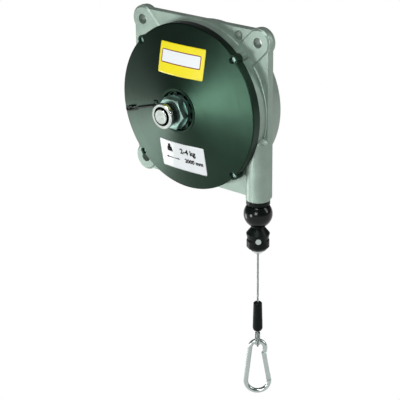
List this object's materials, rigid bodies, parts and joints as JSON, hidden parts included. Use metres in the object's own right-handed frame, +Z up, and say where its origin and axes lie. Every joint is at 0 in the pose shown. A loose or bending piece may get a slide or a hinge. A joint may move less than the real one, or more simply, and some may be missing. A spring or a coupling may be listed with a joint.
{
  "type": "tool balancer",
  "caption": "Spring tool balancer with a lobed square flange, a conical cover with tension hexagon, and a steel cable with stop and snap hook.",
  "frame": {"origin": "centre of the suspension hole above the cable outlet, halfway through the flange", "axes": "+Y along that hole, to the back; -Y to the cover; +X to the right seen from the front; +Z up, against the hanging cable"},
  "size_m": [0.1793, 0.0949, 0.3972],
  "materials": {
    "cast_grey": "die-cast, satin",
    "dark_paint": "dark grey-green satin paint",
    "zinc": "bright zinc plate",
    "bronze": "sintered bronze",
    "black_plastic": "black moulded plastic",
    "steel_rope": "galvanised strands",
    "steel": "turned steel",
    "spring_steel": "blued spring steel",
    "dark_steel": "blackened steel",
    "black_wire": "black coated spring wire",
    "black_rubber": "glossy black rubber",
    "soft_aluminium": "pressed aluminium"
  },
  "bodies": {
    "housing": {"housing": "cast_grey", "front_cover": "dark_paint", "cover_screws": "zinc", "rear_bush": "bronze", "front_bush": "bronze", "cable_guide": "black_plastic", "cable_lead": "steel_rope", "pawl_pin": "steel", "pawl_spring": "spring_steel"},
    "drum": {"drum": "cast_grey", "drum_lid": "steel", "lid_screws": "zinc", "drum_bush_rear": "bronze", "drum_bush_front": "bronze", "cable_winding": "steel_rope", "main_spring": "spring_steel"},
    "arbor": {"arbor": "steel", "arbor_key": "steel", "ratchet_wheel": "dark_steel", "tension_hexagon": "zinc", "neck_sleeve": "black_plastic", "front_collar": "zinc", "thrust_washer": "steel", "circlip": "spring_steel"},
    "release_lever": {"release_lever": "black_wire", "pawl": "dark_steel"},
    "hook_line": {"buffer_ball": "black_rubber", "stop_clamp": "black_plastic", "clamp_screw": "zinc", "clamp_cone": "cast_grey", "cable_run": "steel_rope", "crimp_ferrule": "soft_aluminium", "cable_sleeve": "black_plastic", "thimble": "zinc", "cable_eye": "steel_rope"},
    "snap_hook": {"snap_hook": "zinc", "gate_pin": "zinc", "gate_spring": "spring_steel"},
    "hook_gate": {"hook_gate": "zinc"}
  },
  "joints": [
    {"name": "cable_pull", "type": "slide", "parent": "housing", "child": "hook_line", "axis": [0, 0, -1], "range_m": [0, 2], "stiffness_N_per_m": 1, "springref_m": -30},
    {"name": "drum_spin", "type": "hinge", "parent": "housing", "child": "drum", "pos_m": [-0.075, 0, -0.075], "axis": [0, 1, 0], "range_deg": [0, 1521], "deforming": ["main_spring"]},
    {"name": "preload_turn", "type": "hinge", "parent": "housing", "child": "arbor", "pos_m": [-0.075, 0, -0.075], "axis": [0, -1, 0], "range_deg": [0, 1440], "deforming": ["main_spring"]},
    {"name": "lever_release", "type": "hinge", "parent": "housing", "child": "release_lever", "pos_m": [-0.09923, 0, -0.08264], "axis": [0, 1, 0], "range_deg": [0, 9.5], "stiffness_Nm_per_rad": 0.05, "springref_deg": -11.46, "deforming": ["pawl_spring"]},
    {"name": "hook_swing", "type": "hinge", "parent": "hook_line", "child": "snap_hook", "pos_m": [0, -0.004, -0.3214], "axis": [0.766, 0.6428, 0], "range_deg": [-75, 75]},
    {"name": "gate_open", "type": "hinge", "parent": "snap_hook", "child": "hook_gate", "pos_m": [0.00878, 0.00337, -0.36383], "axis": [0.6428, -0.766, 0], "range_deg": [0, 22], "stiffness_Nm_per_rad": 0.02, "springref_deg": -28.65, "deforming": ["gate_spring"]}
  ],
  "couplings": [
    {"joint": "drum_spin", "follows": "cable_pull", "rad_per_m": 13.263}
  ]
}
